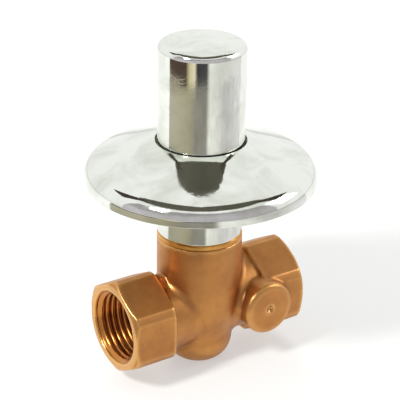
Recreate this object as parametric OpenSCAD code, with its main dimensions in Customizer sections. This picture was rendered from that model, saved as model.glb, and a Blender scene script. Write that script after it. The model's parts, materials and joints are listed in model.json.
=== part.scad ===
// Concealed shut-off valve with a closed cap and a wall flange.
// Millimetres, +Z up along the stem and +X along the ports. The origin lies on the inlet port's axis,
// where its thread starts.
// Threads are left plain: a screwed pair is drawn at its pitch diameter with a small clearance.

/* [Body] */
// From the valve's axis to the mouth of either port
port_reach = 28.5; // [27:0.5:34]
// Bore of a port, the minor diameter of a half-inch pipe thread
port_bore_d = 18.63; // [18.4:0.01:19]
// Wall between a port's bore and the flats of its hexagon
port_wall = 3.185; // [3:0.005:3.6]
// How far the hexagon's corners are turned down
corner_cut = 0.6; // [0.3:0.1:1]
// Length of a port's hexagon
port_hex_length = 13.2; // [12:0.1:14]
// Chamfer round the end of a port
port_chamfer = 0.9; // [0.4:0.1:1.4]
// Step from the hexagons' flats down to the round barrel between them
barrel_step = 0.15; // [0.05:0.05:0.4]
// Step from the barrel in to the neck
neck_step = 0.25; // [0.15:0.05:0.6]
// Height of the neck's top above the barrel
neck_rise = 9.85; // [8:0.05:13]
// Blend where the neck meets the barrel
neck_blend = 2; // [1:0.1:3]
// Step from the neck in to the rounded bottom under the seat
bottom_step = 2.3; // [1.8:0.1:3.4]
// How far the bottom hangs below the barrel
bottom_drop = 5.05; // [4:0.05:7]
// Rounding of that bottom
bottom_round = 6; // [3:0.1:7]
// Blend where the bottom meets the barrel
bottom_blend = 2.6; // [1:0.1:3]

/* [Drain boss] */
// Diameter of the blind boss on the front of the outlet
boss_d = 15.8; // [12:0.1:17]
// From the valve's axis to the boss, along the ports
boss_offset = 14.8; // [13:0.1:17]
// How far the boss's face stands out from the barrel
boss_rise = 2.85; // [2.2:0.05:4.5]
// Rounding of the boss's edge
boss_edge = 0.8; // [0.3:0.1:1.2]
// Blend where the boss meets the barrel
boss_blend = 1.2; // [0.6:0.1:1.6]
// Diameter of the centre mark in the boss's face
mark_d = 2.6; // [1.5:0.1:4]

/* [Waterway] */
// Depth of a port's bore
port_bore_depth = 13; // [11:0.1:14]
// Depth of the lead-in chamfer at a port's mouth
port_lead = 1.4; // [1.2:0.05:1.9]
// Wall over the passage to the outlet
roof_wall = 1.85; // [1.4:0.05:2.6]
// Step that both passages keep from the chambers' ends
passage_step = 0.3; // [0.2:0.1:0.6]
// Width of the floor round the seat's hole
seat_floor_w = 4.3; // [3.8:0.1:5]
// Width of the raised ring round the seat's hole
seat_ring_w = 1.8; // [1.2:0.1:2.4]
// Height of the seat's ring above the ports' axis
seat_height = 3.6; // [3.2:0.1:4.2]
// Height of the seat's ring above the floor of the upper chamber
seat_ring_h = 1.4; // [1:0.1:1.6]
// Step from the neck's thread in to the upper chamber
chamber_step = 0.6; // [0.3:0.1:1]
// Wall round the lower chamber, under the seat
pocket_wall = 3.6; // [3:0.1:4.4]
// Wall under the lower chamber
bottom_wall = 4.4; // [3:0.1:5]
// Thickness of the wall between the two chambers
partition_h = 2.2; // [1.8:0.1:2.6]

/* [Bonnet] */
// Wall between the bonnet's guide and the thread in the neck
thread_wall = 2.3; // [2.1:0.1:2.6]
// Wall between the bonnet's guide and the grooves of the cap's rings
guide_wall = 1.6; // [1.3:0.1:2]
// Gap between the bonnet's lower end and the cup of the open carrier
skirt_gap = 0.4; // [0.3:0.1:1]
// Thickness of the bonnet's collar
collar_h = 1.6; // [1.2:0.1:2.4]
// Length of the round part that the cap fits over
spigot_length = 9; // [8.6:0.1:11]
// Step from the round part in to the flats of the bonnet's spanner hexagon
bonnet_hex_step = 1.2; // [0.8:0.1:1.8]
// Height of the bonnet's spanner hexagon
bonnet_hex_h = 5; // [4:0.1:7]
// Wall of the bonnet's upper tube
tube_wall = 3.1; // [2.4:0.1:3.6]
// Length of the bonnet's upper tube
tube_length = 8; // [7:0.1:10]
// Width of the flat gasket under the collar
gasket_w = 1.1; // [0.8:0.1:1.3]
// Thickness of the flat gasket under the collar
gasket_h = 1.2; // [0.8:0.1:1.4]

/* [Stem] */
// Diameter of the stem in the bonnet
stem_d = 8; // [7:0.1:8.6]
// Gap round the stem's thrust collar in the bonnet's guide
thrust_gap = 0.75; // [0.5:0.05:1]
// Thickness of the stem's thrust collar
thrust_h = 2; // [1.6:0.1:2.6]
// Step from the stem in to the pitch diameter of its screw
screw_step = 0.4; // [0.2:0.1:0.8]
// Across the flats of the square drive
drive_flats = 6.5; // [5:0.1:7.6]
// Height of the square drive
drive_h = 8; // [6:0.1:12]
// Thickness of the slip washer over the thrust collar
slip_washer_h = 0.6; // [0.4:0.1:1]
// Width of the spacer washer on top of the bonnet
spacer_w = 1.9; // [1.4:0.1:2.4]
// Thickness of the spacer washer
spacer_h = 0.8; // [0.5:0.1:1.2]
// Thickness of the snap ring
snap_h = 0.8; // [0.6:0.1:1]
// Radial width of the snap ring
snap_w = 1.8; // [1.4:0.1:2.4]
// Section of the stem's two O-rings
stem_ring_t = 1.3; // [1:0.1:1.6]

/* [Disc carrier] */
// Lift of the carrier from closed to open
lift = 5; // [4:0.1:5.2]
// Gap between the open carrier and the stem's thrust collar
carrier_gap = 1; // [0.5:0.1:2]
// Metal between the carrier's cup and its screw hole
hole_floor = 3.3; // [2.6:0.1:4.2]
// Gap round the carrier's cup in the upper chamber
cup_gap = 1.4; // [0.8:0.1:1.8]
// Wall of the cup that holds the seat washer
cup_wall = 1; // [0.8:0.1:1.4]
// Thickness of the seat washer
seat_washer_h = 3; // [2.4:0.1:3.4]
// Height of the cup's rim that stands round the washer
cup_rim_h = 1.9; // [1.4:0.1:2]
// Thickness of the cup's floor
cup_floor_h = 1.6; // [1.2:0.1:2.2]
// Step from the seat's hole in to the retaining plate
plate_gap = 1; // [0.6:0.1:1.4]
// Thickness of the retaining plate
plate_h = 0.6; // [0.5:0.1:0.8]
// Diameter of the washer screw's thread
small_screw_d = 3.5; // [3:0.1:4]
// Diameter of the washer screw's head
small_head_d = 6.4; // [5.4:0.1:6.8]
// Height of the washer screw's head
small_head_h = 1.2; // [1:0.1:1.4]

/* [Cap] */
// Height of the cap
cap_h = 55; // [45:0.5:65]
// Wall of the cap
cap_wall = 1.3; // [1:0.1:1.5]
// Thickness of the cap's top
cap_roof = 2; // [1.4:0.1:3]
// Rounding of the cap's top edge
cap_round = 2; // [1:0.1:3]
// Section of the two rings that grip the cap
cap_ring_t = 1.6; // [1.2:0.1:1.9]

/* [Wall flange] */
// Diameter of the flange
flange_d = 64.8; // [55:0.1:80]
// Gap between the flange's hole and the cap
flange_gap = 0.6; // [0.5:0.05:0.9]
// Height of the flange's rim above the ports' axis, as it stands on the cap
flange_height = 39.4; // [36:0.1:46]
// Height of the flange from its rim to its hole
flange_rise = 11.6; // [9:0.1:16]
// Rounding from the cone into the rim
flange_round = 4.6; // [2:0.1:5]
// Straight height of the rim below the rounding
flange_rim_h = 1.2; // [0.6:0.1:3]
// Thickness of the flange's sheet
flange_sheet = 1; // [0.8:0.1:1.4]
// Wall of the ring holder outside its groove
holder_wall = 0.6; // [0.4:0.1:1.2]
// Height of the ring holder
holder_h = 5; // [4.4:0.1:6]
// Section of the ring that grips the cap
grip_ring_t = 1.9; // [1.6:0.1:2.2]

/* [Fits] */
// Radial clearance of a screwed, pressed or bedded pair
screw_fit = 0.03; // [0.02:0.01:0.05]
// Radial clearance of a part that turns or slides in another
run_fit = 0.08; // [0.05:0.01:0.1]
// Radial clearance of a seal on the face that it slides on
seal_fit = 0.02; // [0.01:0.01:0.04]
// End play between faces that move against each other
end_play = 0.1; // [0.05:0.01:0.2]
// Free space past the end of a screw or plunger
end_space = 0.5; // [0.4:0.1:0.8]

/* [Hidden] */
$fn = 96;

raw_brass = "peru";
turned_brass = "goldenrod";
chrome = "gainsboro";
black_rubber = "dimgray";
steel = "lightsteelblue";
white_plastic = "ivory";

cut = 0.5;
arc_steps = 6;
blend_ring_steps = 48;
blend_bite = 0.05;
blend_depth = 1.2;
halvings = 24;
straight = 1000;
hex_inner_chamfer = 0.6;
edge_break = 0.3;
groove_cut = 1;
groove_play = 0.15;
snap_step = 1.2;

port_flats = port_bore_d + 2 * port_wall;
port_corners = hex_corners(port_flats) - 2 * corner_cut;
port_mouth_d = port_bore_d + 2 * port_lead;
barrel_d = port_flats - 2 * barrel_step;
barrel_length = 2 * (port_reach - port_hex_length + hex_inner_chamfer);
neck_d = barrel_d - 2 * neck_step;
neck_top = barrel_d / 2 + neck_rise;
bottom_d = neck_d - 2 * bottom_step;
bottom_depth = barrel_d / 2 + bottom_drop;
boss_face = barrel_d / 2 + boss_rise;

cap_d = neck_d;
cap_bore_d = cap_d - 2 * cap_wall;
cap_groove_d = cap_bore_d - 2 * seal_fit - 2 * cap_ring_t;
guide_corners = cap_groove_d - 2 * guide_wall;
guide_flats = guide_corners * cos(30);
carrier_flats = guide_flats - 2 * run_fit;
neck_thread_d = guide_corners + 2 * thread_wall;
gasket_d = neck_thread_d + 2 * gasket_w;
spigot_d = cap_bore_d - 2 * run_fit;
bonnet_flats = spigot_d - 2 * bonnet_hex_step;
stem_bore_d = stem_d + 2 * run_fit;
tube_d = stem_bore_d + 2 * tube_wall;
thrust_d = guide_flats - 2 * thrust_gap;
screw_d = stem_d - 2 * screw_step;

chamber_d = neck_thread_d - 2 * chamber_step;
chamber_floor = seat_height - seat_ring_h;
seat_bore_d = chamber_d - 2 * seat_floor_w;
pocket_d = bottom_d - 2 * pocket_wall;
pocket_bottom = bottom_wall - bottom_depth;
pocket_top = chamber_floor - partition_h;
passage_d = barrel_d / 2 - roof_wall - chamber_floor - passage_step;
inlet_passage_z = pocket_top - passage_step - passage_d / 2;
outlet_passage_z = chamber_floor + passage_step + passage_d / 2;
passage_reach = port_reach - port_bore_depth + cut;
outlet_start = seat_bore_d / 2 + seat_ring_w + cut;

washer_bottom = seat_height + end_play + lift;
washer_top = washer_bottom + seat_washer_h;
cup_d = chamber_d - 2 * cup_gap;
cup_bottom = washer_top - cup_rim_h;
cup_top = washer_top + cup_floor_h;
seat_washer_d = cup_d - 2 * cup_wall;
plate_d = seat_bore_d - 2 * plate_gap;
plate_bottom = washer_bottom + small_head_h;
plate_top = plate_bottom + plate_h;
carrier_hole_bottom = cup_top + hole_floor;
small_screw_tip = carrier_hole_bottom - 1;

collar_top = neck_top + collar_h;
spigot_top = collar_top + spigot_length;
hex_top = spigot_top + bonnet_hex_h;
bonnet_top = hex_top + tube_length;
bonnet_bottom = cup_top + skirt_gap;
shoulder_z = spigot_top + slip_washer_h;

thrust_top = shoulder_z - slip_washer_h - end_play;
thrust_bottom = thrust_top - thrust_h;
carrier_top = thrust_bottom - carrier_gap;
screw_bottom = carrier_hole_bottom + end_space;
spacer_bottom = bonnet_top + end_play;
snap_bottom = spacer_bottom + spacer_h;
shaft_top = snap_bottom + snap_h + snap_step;
stem_top = shaft_top + drive_h;
snap_groove_d = stem_d - snap_step;
stem_groove_d = stem_bore_d - 2 * seal_fit - 2 * stem_ring_t;
stem_ring_gap = tube_length / 2;
stem_ring_low = hex_top + tube_length / 4;

cap_bottom = collar_top + end_play;
cap_top = cap_bottom + cap_h;
cap_ring_low = collar_top + spigot_length * 0.28;
cap_ring_high = collar_top + spigot_length * 0.72;

flange_hole_d = cap_d + 2 * flange_gap;
flange_top = flange_height + flange_rise;
holder_top = flange_top - flange_sheet / cos(cone_angle()) - screw_fit;
grip_ring_z = holder_top - holder_h / 2;

// Points of an arc about [x, y], from one angle to another
function arc(x, y, r, from, to, steps = arc_steps) =
    [for (i = [0 : steps]) let (a = from + (to - from) * i / steps) [x + r * cos(a), y + r * sin(a)]];

// Across the corners of a hexagon, from its flats
function hex_corners(flats) = flats / cos(30);

// Draws its children about the valve's own axis
module at_valve() {
    translate([port_reach - port_lead, 0, 0]) children();
}

// A ring of round section, by its inner diameter and thickness, at a height
module o_ring(inner_d, thickness, z) {
    translate([0, 0, z])
        rotate_extrude()
            translate([(inner_d + thickness) / 2, 0])
                circle(d = thickness, $fn = 24);
}

// A flat ring from one height up to another
module flat_ring(outer_d, inner_d, from_z, to_z) {
    translate([0, 0, from_z])
        difference() {
            cylinder(d = outer_d, h = to_z - from_z);
            translate([0, 0, -cut]) cylinder(d = inner_d, h = to_z - from_z + 2 * cut);
        }
}

// A square groove cut round a shaft
module shaft_groove(shaft_d, groove_d, width, z) {
    flat_ring(shaft_d + 2 * groove_cut, groove_d, z - width / 2, z + width / 2);
}

// How far out from a post's axis the rolling ball's centre lies at a height, for a post whose end is
// rounded above its shoulder
function ball_reach(post_r, blend_r, shoulder, end_round, height) =
    height <= shoulder
        ? post_r + blend_r
        : post_r - end_round + sqrt(pow(end_round + blend_r, 2) - pow(height - shoulder, 2));

// Height at which the ball touches both post and pipe, found by halving the span
function ball_height(post_r, blend_r, shoulder, end_round, side, reach, low, high, turns) =
    let (
        middle = (low + high) / 2,
        out = side * ball_reach(post_r, blend_r, shoulder, end_round, middle)
    )
    turns == 0
        ? middle
        : out * out + middle * middle > reach * reach
            ? ball_height(post_r, blend_r, shoulder, end_round, side, reach, low, middle, turns - 1)
            : ball_height(post_r, blend_r, shoulder, end_round, side, reach, middle, high, turns - 1);

// Points of one section of the blend, at an angle round the post: the arc that the ball leaves from
// post to pipe, then one point inside both
function blend_section(post_r, pipe_r, blend_r, shoulder, end_round, a) =
    let (
        reach = pipe_r + blend_r,
        z = ball_height(post_r, blend_r, shoulder, end_round, sin(a), reach, 0, reach, halvings),
        out = ball_reach(post_r, blend_r, shoulder, end_round, z),
        ball = [out * cos(a), out * sin(a), z],
        drop = max(0, z - shoulder),
        to_post = [-(out - post_r + end_round) * cos(a), -(out - post_r + end_round) * sin(a), -drop]
            / (end_round + blend_r),
        to_pipe = [0, -ball[1], -z] / reach,
        spread = acos(to_post * to_pipe),
        root_r = post_r - blend_depth,
        root_z = sqrt(pow(pipe_r, 2) - pow(root_r * sin(a), 2)) - blend_depth
    )
    concat(
        [for (k = [0 : arc_steps])
            ball + (blend_r + blend_bite) / sin(spread)
                * (sin(spread * (1 - k / arc_steps)) * to_post + sin(spread * k / arc_steps) * to_pipe)],
        [[root_r * cos(a), root_r * sin(a), root_z]]
    );

// The concave blend round a post that stands on a pipe lying along X, as a ball leaves it that rolls
// round the crossing. The ring bites a little into both.
module rolled_blend(post_r, pipe_r, blend_r, shoulder = straight, end_round = 0) {
    section = arc_steps + 2;
    points = [
        for (i = [0 : blend_ring_steps - 1])
            each blend_section(post_r, pipe_r, blend_r, shoulder, end_round, 360 * i / blend_ring_steps)
    ];
    faces = [
        for (i = [0 : blend_ring_steps - 1])
            for (k = [0 : section - 1])
                let (
                    here = i * section,
                    next = ((i + 1) % blend_ring_steps) * section,
                    up = (k + 1) % section
                )
                each [[here + k, here + up, next + up], [here + k, next + up, next + k]]
    ];
    polyhedron(points, faces);
}

// One port's hexagon with turned ends, its mouth towards +X
module port_hexagon() {
    corner_r = port_corners / 2;
    outline = [
        [0, 0],
        [barrel_d / 2 - edge_break, 0],
        [corner_r, hex_inner_chamfer],
        [corner_r, port_hex_length - port_chamfer],
        [corner_r - 1.7 * port_chamfer, port_hex_length],
        [0, port_hex_length],
    ];
    translate([port_reach - port_hex_length, 0, 0])
        rotate([0, 90, 0])
            intersection() {
                cylinder(d = hex_corners(port_flats), h = port_hex_length, $fn = 6);
                rotate_extrude() polygon(outline);
            }
}

// The blind boss, its face towards -Y
module drain_boss() {
    face_r = boss_d / 2;
    outline = concat(
        [[0, 0], [face_r, 0]],
        arc(face_r - boss_edge, boss_face - boss_edge, boss_edge, 0, 90, 4),
        [[0, boss_face]]
    );
    translate([boss_offset, 0, 0])
        rotate([90, 0, 0]) {
            rotate_extrude() polygon(outline);
            rolled_blend(face_r, barrel_d / 2, boss_blend);
        }
}

// The rounded bottom that hangs under the seat
module bottom_bulge() {
    bulge_r = bottom_d / 2;
    outline = concat(
        [[0, 0], [0, -bottom_depth]],
        arc(bulge_r - bottom_round, bottom_round - bottom_depth, bottom_round, -90, 0, 8),
        [[bulge_r, 0]]
    );
    rotate_extrude() polygon(outline);
    mirror([0, 0, 1])
        rolled_blend(bulge_r, barrel_d / 2, bottom_blend, bottom_depth - bottom_round, bottom_round);
}

// The neck, with its top edge broken
module neck() {
    neck_r = neck_d / 2;
    outline = [
        [0, 0],
        [neck_r, 0],
        [neck_r, neck_top - edge_break],
        [neck_r - edge_break, neck_top],
        [0, neck_top],
    ];
    rotate_extrude() polygon(outline);
    rolled_blend(neck_r, barrel_d / 2, neck_blend);
}

// A port's bore with its lead-in, its mouth towards +X
module port_bore() {
    translate([port_reach - port_bore_depth, 0, 0])
        rotate([0, 90, 0]) {
            cylinder(d = port_bore_d, h = port_bore_depth + cut);
            translate([0, 0, port_bore_depth - port_lead])
                cylinder(d1 = port_bore_d, d2 = port_mouth_d + 2 * cut, h = port_lead + cut);
        }
}

// The chambers, the seat's hole and the two passages that cross over it
module waterway() {
    port_bore();
    mirror([1, 0, 0]) port_bore();
    translate([-passage_reach, 0, inlet_passage_z])
        rotate([0, 90, 0]) cylinder(d = passage_d, h = passage_reach);
    translate([outlet_start, 0, outlet_passage_z])
        rotate([0, 90, 0]) cylinder(d = passage_d, h = passage_reach - outlet_start);
    translate([0, 0, pocket_bottom]) cylinder(d = pocket_d, h = pocket_top - pocket_bottom);
    translate([0, 0, pocket_top - cut]) cylinder(d = seat_bore_d, h = seat_height - pocket_top + 2 * cut);
    translate([0, 0, chamber_floor])
        difference() {
            cylinder(d = chamber_d, h = neck_top - chamber_floor + cut);
            cylinder(d = seat_bore_d + 2 * seat_ring_w, h = seat_ring_h);
        }
    translate([0, 0, bonnet_bottom - end_space]) cylinder(d = neck_thread_d, h = neck_top - bonnet_bottom + end_space + cut);
    translate([0, 0, neck_top - gasket_h]) cylinder(d = gasket_d + 2 * screw_fit, h = gasket_h + cut);
}

module valve_body() {
    color(raw_brass)
        at_valve()
            difference() {
                union() {
                    neck();
                    bottom_bulge();
                    rotate([0, 90, 0]) cylinder(d = barrel_d, h = barrel_length, center = true);
                    port_hexagon();
                    mirror([1, 0, 0]) port_hexagon();
                    drain_boss();
                }
                waterway();
                translate([boss_offset, -boss_face - 0.01, 0])
                    rotate([-90, 0, 0]) cylinder(d1 = mark_d, d2 = 0, h = mark_d / 2);
            }
}

// Turned outside of the bonnet up to its hexagon
module bonnet_lower() {
    thread_r = neck_thread_d / 2 - screw_fit;
    collar_r = neck_d / 2;
    spigot_r = spigot_d / 2;
    outline = [
        [0, bonnet_bottom],
        [thread_r - edge_break, bonnet_bottom],
        [thread_r, bonnet_bottom + edge_break],
        [thread_r, neck_top],
        [collar_r - edge_break, neck_top],
        [collar_r, neck_top + edge_break],
        [collar_r, collar_top - edge_break],
        [collar_r - edge_break, collar_top],
        [spigot_r, collar_top],
        [spigot_r, spigot_top - edge_break],
        [spigot_r - edge_break, spigot_top],
        [0, spigot_top],
    ];
    rotate_extrude() polygon(outline);
}

// Spanner hexagon, its corners turned down so that the cap passes over it
module bonnet_hexagon() {
    translate([0, 0, spigot_top])
        intersection() {
            cylinder(d = hex_corners(bonnet_flats), h = bonnet_hex_h, $fn = 6);
            cylinder(d = spigot_d - edge_break, h = bonnet_hex_h);
        }
}

module bonnet() {
    groove_w = cap_ring_t + groove_play;
    color(turned_brass)
        at_valve()
            difference() {
                union() {
                    bonnet_lower();
                    bonnet_hexagon();
                    translate([0, 0, hex_top]) cylinder(d = tube_d, h = tube_length - edge_break);
                    translate([0, 0, bonnet_top - edge_break])
                        cylinder(d1 = tube_d, d2 = tube_d - 2 * edge_break, h = edge_break);
                }
                translate([0, 0, bonnet_bottom - cut])
                    cylinder(d = guide_corners, h = shoulder_z - bonnet_bottom + cut, $fn = 6);
                translate([0, 0, bonnet_bottom]) cylinder(d = stem_bore_d, h = bonnet_top - bonnet_bottom + cut);
                shaft_groove(spigot_d, cap_groove_d, groove_w, cap_ring_low);
                shaft_groove(spigot_d, cap_groove_d, groove_w, cap_ring_high);
            }
}

module bonnet_gasket() {
    color(black_rubber)
        at_valve()
            flat_ring(gasket_d, neck_thread_d, neck_top - gasket_h, neck_top);
}

// Square drive with its corners turned down and its top chamfered
module square_drive() {
    corner_r = drive_flats * 0.64;
    outline = [
        [0, 0],
        [corner_r, 0],
        [corner_r, drive_h - 1],
        [corner_r - 1, drive_h],
        [0, drive_h],
    ];
    translate([0, 0, shaft_top])
        intersection() {
            translate([-drive_flats / 2, -drive_flats / 2, 0]) cube([drive_flats, drive_flats, drive_h]);
            rotate_extrude() polygon(outline);
        }
}

module stem() {
    groove_w = stem_ring_t + groove_play;
    color(turned_brass)
        at_valve()
            difference() {
                union() {
                    translate([0, 0, screw_bottom])
                        cylinder(d = screw_d - 2 * run_fit, h = thrust_bottom - screw_bottom + cut);
                    translate([0, 0, thrust_bottom]) cylinder(d = thrust_d, h = thrust_h);
                    translate([0, 0, thrust_bottom]) cylinder(d = stem_d, h = shaft_top - thrust_bottom);
                    square_drive();
                }
                shaft_groove(stem_d, stem_groove_d, groove_w, stem_ring_low);
                shaft_groove(stem_d, stem_groove_d, groove_w, stem_ring_low + stem_ring_gap);
                shaft_groove(stem_d, snap_groove_d, snap_h, snap_bottom + snap_h / 2);
            }
}

module stem_upper_o_ring() {
    color(black_rubber) at_valve() o_ring(stem_groove_d, stem_ring_t, stem_ring_low + stem_ring_gap);
}

module stem_lower_o_ring() {
    color(black_rubber) at_valve() o_ring(stem_groove_d, stem_ring_t, stem_ring_low);
}

module thrust_washer() {
    color(white_plastic)
        at_valve()
            flat_ring(thrust_d, stem_bore_d, shoulder_z - slip_washer_h, shoulder_z);
}

module spacer_washer() {
    color(turned_brass)
        at_valve()
            flat_ring(stem_bore_d + 2 * spacer_w, stem_bore_d, spacer_bottom, spacer_bottom + spacer_h);
}

// An open ring that springs into the stem's top groove
module snap_ring() {
    gap = 5;
    color(steel)
        at_valve()
            difference() {
                flat_ring(snap_groove_d + 2 * screw_fit + 2 * snap_w, snap_groove_d + 2 * screw_fit,
                    snap_bottom, snap_bottom + snap_h);
                translate([0, -gap / 2, snap_bottom - cut]) cube([stem_d + 2 * snap_w, gap, snap_h + 2 * cut]);
            }
}

module disc_carrier() {
    color(turned_brass)
        at_valve()
            difference() {
                union() {
                    translate([0, 0, cup_bottom]) cylinder(d = cup_d, h = cup_top - cup_bottom);
                    translate([0, 0, cup_top])
                        cylinder(d = hex_corners(carrier_flats), h = carrier_top - cup_top, $fn = 6);
                }
                translate([0, 0, cup_bottom - cut])
                    cylinder(d = seat_washer_d + 2 * screw_fit, h = cup_rim_h + cut);
                translate([0, 0, carrier_hole_bottom])
                    cylinder(d = screw_d, h = carrier_top - carrier_hole_bottom + cut);
                translate([0, 0, cup_bottom])
                    cylinder(d = small_screw_d + 2 * screw_fit, h = small_screw_tip + end_space - cup_bottom);
            }
}

// Its plate and screw are let into its underside, so that it closes flat on the seat
module seat_washer() {
    color(black_rubber)
        at_valve()
            difference() {
                flat_ring(seat_washer_d, small_screw_d + 2 * screw_fit, washer_bottom, washer_top);
                translate([0, 0, washer_bottom - cut])
                    cylinder(d = plate_d + 2 * screw_fit, h = plate_top - washer_bottom + cut);
            }
}

module washer_plate() {
    color(turned_brass)
        at_valve()
            flat_ring(plate_d, small_screw_d + 2 * screw_fit, plate_bottom, plate_top);
}

// Cheese-head screw with a slot, put in from below
module washer_screw() {
    slot_w = 0.9;
    color(turned_brass)
        at_valve()
            difference() {
                union() {
                    translate([0, 0, plate_bottom]) cylinder(d = small_screw_d, h = small_screw_tip - plate_bottom);
                    translate([0, 0, washer_bottom]) cylinder(d = small_head_d, h = small_head_h);
                }
                translate([-small_head_d, -slot_w / 2, washer_bottom - cut])
                    cube([2 * small_head_d, slot_w, small_head_h / 2 + cut]);
            }
}

module cap() {
    outer_r = cap_d / 2;
    bore_r = cap_bore_d / 2;
    outline = concat(
        [
            [bore_r, cap_bottom],
            [outer_r - edge_break, cap_bottom],
            [outer_r, cap_bottom + edge_break],
        ],
        arc(outer_r - cap_round, cap_top - cap_round, cap_round, 0, 90),
        [
            [0, cap_top],
            [0, cap_top - cap_roof],
        ],
        arc(bore_r - 1, cap_top - cap_roof - 1, 1, 90, 0, 3)
    );
    color(chrome) at_valve() rotate_extrude() polygon(outline);
}

module cap_lower_o_ring() {
    color(black_rubber) at_valve() o_ring(cap_groove_d, cap_ring_t, cap_ring_low);
}

module cap_upper_o_ring() {
    color(black_rubber) at_valve() o_ring(cap_groove_d, cap_ring_t, cap_ring_high);
}

// Angle at which the flange's cone falls from its hole to its rim
function cone_angle() =
    let (
        run = (flange_d - flange_hole_d) / 2 - flange_round,
        fall = flange_rise - flange_rim_h
    )
    atan2(fall, run) - asin(flange_round / norm([run, fall]));

// The sheet's outside, set in by a distance: hole, cone, rounding and rim
function flange_profile(inset) =
    let (
        rim_r = flange_d / 2,
        angle = cone_angle(),
        hole_r = flange_hole_d / 2
    )
    concat(
        [[hole_r, flange_top - inset / cos(angle)]],
        arc(rim_r - flange_round, flange_height + flange_rim_h, flange_round - inset, 90 - angle, 0),
        [[rim_r - inset, flange_height]]
    );

// Pressed sheet: a shallow cone that rounds down into a short rim
module flange() {
    outside = flange_profile(0);
    inside = flange_profile(flange_sheet);
    last = len(inside) - 1;
    outline = concat(outside, [for (i = [0 : last]) inside[last - i]]);
    color(chrome) at_valve() rotate_extrude() polygon(outline);
}

// Plastic ring that lies against the cone behind the hole, grooved for the ring that grips the cap
module grip_ring_holder() {
    inner_r = flange_hole_d / 2;
    groove_r = cap_d / 2 + seal_fit + grip_ring_t;
    outer_r = groove_r + holder_wall;
    half_groove = (grip_ring_t + groove_play) / 2;
    outline = [
        [inner_r, holder_top],
        [outer_r, holder_top - (outer_r - inner_r) * tan(cone_angle())],
        [outer_r, holder_top - holder_h],
        [inner_r, holder_top - holder_h],
        [inner_r, grip_ring_z - half_groove],
        [groove_r, grip_ring_z - half_groove],
        [groove_r, grip_ring_z + half_groove],
        [inner_r, grip_ring_z + half_groove],
    ];
    color(white_plastic) at_valve() rotate_extrude() polygon(outline);
}

module flange_grip_ring() {
    color(black_rubber) at_valve() o_ring(cap_d + 2 * seal_fit, grip_ring_t, grip_ring_z);
}

valve_body();
bonnet();
bonnet_gasket();
stem();
stem_upper_o_ring();
stem_lower_o_ring();
thrust_washer();
spacer_washer();
snap_ring();
disc_carrier();
seat_washer();
washer_plate();
washer_screw();
cap();
cap_lower_o_ring();
cap_upper_o_ring();
flange();
grip_ring_holder();
flange_grip_ring();
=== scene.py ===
"""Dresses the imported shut-off valve: forged body, port threads, chromed cap and flange, seals and a studio.

Everything is in metres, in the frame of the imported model: +X runs along the ports from inlet to
outlet, +Z along the stem, and the drain boss faces -Y. Sizes inside the classes are in millimetres.
"""

import json
import logging
import math
from dataclasses import dataclass
from enum import Enum
from typing import Sequence

import bmesh
import bpy
import numpy as np
from mathutils import Matrix, Vector

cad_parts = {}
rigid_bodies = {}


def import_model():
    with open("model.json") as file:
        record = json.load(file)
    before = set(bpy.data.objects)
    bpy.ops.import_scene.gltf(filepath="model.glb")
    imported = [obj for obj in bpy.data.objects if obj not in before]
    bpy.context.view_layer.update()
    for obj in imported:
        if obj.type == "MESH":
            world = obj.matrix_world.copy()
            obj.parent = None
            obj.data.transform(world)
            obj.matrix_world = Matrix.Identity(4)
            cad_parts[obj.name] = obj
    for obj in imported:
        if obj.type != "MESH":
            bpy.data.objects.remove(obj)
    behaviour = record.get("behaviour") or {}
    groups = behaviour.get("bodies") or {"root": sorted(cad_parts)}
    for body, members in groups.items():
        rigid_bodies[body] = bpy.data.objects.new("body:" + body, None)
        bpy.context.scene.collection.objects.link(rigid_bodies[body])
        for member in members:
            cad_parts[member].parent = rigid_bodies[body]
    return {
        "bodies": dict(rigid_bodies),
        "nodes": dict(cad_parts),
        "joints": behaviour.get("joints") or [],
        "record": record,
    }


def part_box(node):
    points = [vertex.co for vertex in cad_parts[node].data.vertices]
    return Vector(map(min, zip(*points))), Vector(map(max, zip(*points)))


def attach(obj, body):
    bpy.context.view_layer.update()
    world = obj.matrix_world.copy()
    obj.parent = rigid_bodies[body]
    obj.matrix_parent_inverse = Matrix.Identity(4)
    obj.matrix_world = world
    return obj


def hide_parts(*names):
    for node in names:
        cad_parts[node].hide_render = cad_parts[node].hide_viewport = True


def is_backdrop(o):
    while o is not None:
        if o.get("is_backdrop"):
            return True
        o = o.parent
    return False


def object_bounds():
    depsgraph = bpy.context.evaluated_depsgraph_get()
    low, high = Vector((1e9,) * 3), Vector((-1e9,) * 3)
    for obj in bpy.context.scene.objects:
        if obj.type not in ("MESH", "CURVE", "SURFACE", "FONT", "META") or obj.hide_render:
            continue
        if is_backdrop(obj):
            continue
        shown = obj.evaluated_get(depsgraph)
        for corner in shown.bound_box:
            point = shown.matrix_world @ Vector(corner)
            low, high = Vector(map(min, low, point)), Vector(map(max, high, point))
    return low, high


logging.basicConfig(level=logging.INFO, format="%(message)s")
LOG = logging.getLogger("valve")

MM = 0.001


class Axis(Enum):
    """The two lines that the valve's parts are turned about."""

    PORTS = 0
    STEM = 2


class End(Enum):
    """Which port, as the way its mouth faces along X."""

    INLET = -1
    OUTLET = 1


# Node trees


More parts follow.
